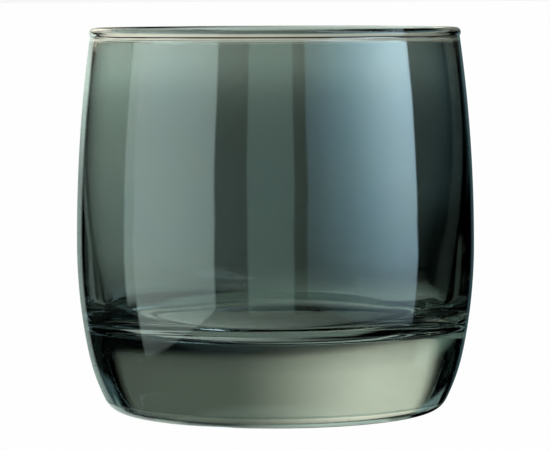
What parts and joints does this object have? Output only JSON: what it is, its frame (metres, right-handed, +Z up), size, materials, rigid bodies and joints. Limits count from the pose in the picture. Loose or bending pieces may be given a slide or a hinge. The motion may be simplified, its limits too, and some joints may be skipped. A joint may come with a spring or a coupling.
{
  "type": "whiskey tumbler",
  "caption": "Barrel-shaped glass tumbler with a rounded rim bead, a heavy base on a ring foot and a smoke-grey lustre film on the outside of its wall.",
  "frame": {"origin": "centre of the ring foot, on the plane that the tumbler stands on", "axes": "+Z up through the mouth, along the axis of revolution; X and Y are any two directions across"},
  "size_m": [0.086, 0.086, 0.0828],
  "materials": {
    "clear_glass": "fire-polished, clear with a slight green cast",
    "smoke_lustre": "glossy smoke-grey lustre with a faint iridescence"
  },
  "bodies": {
    "root": {"glass_body": "clear_glass", "lustre_coat": "smoke_lustre"}
  },
  "joints": []
}
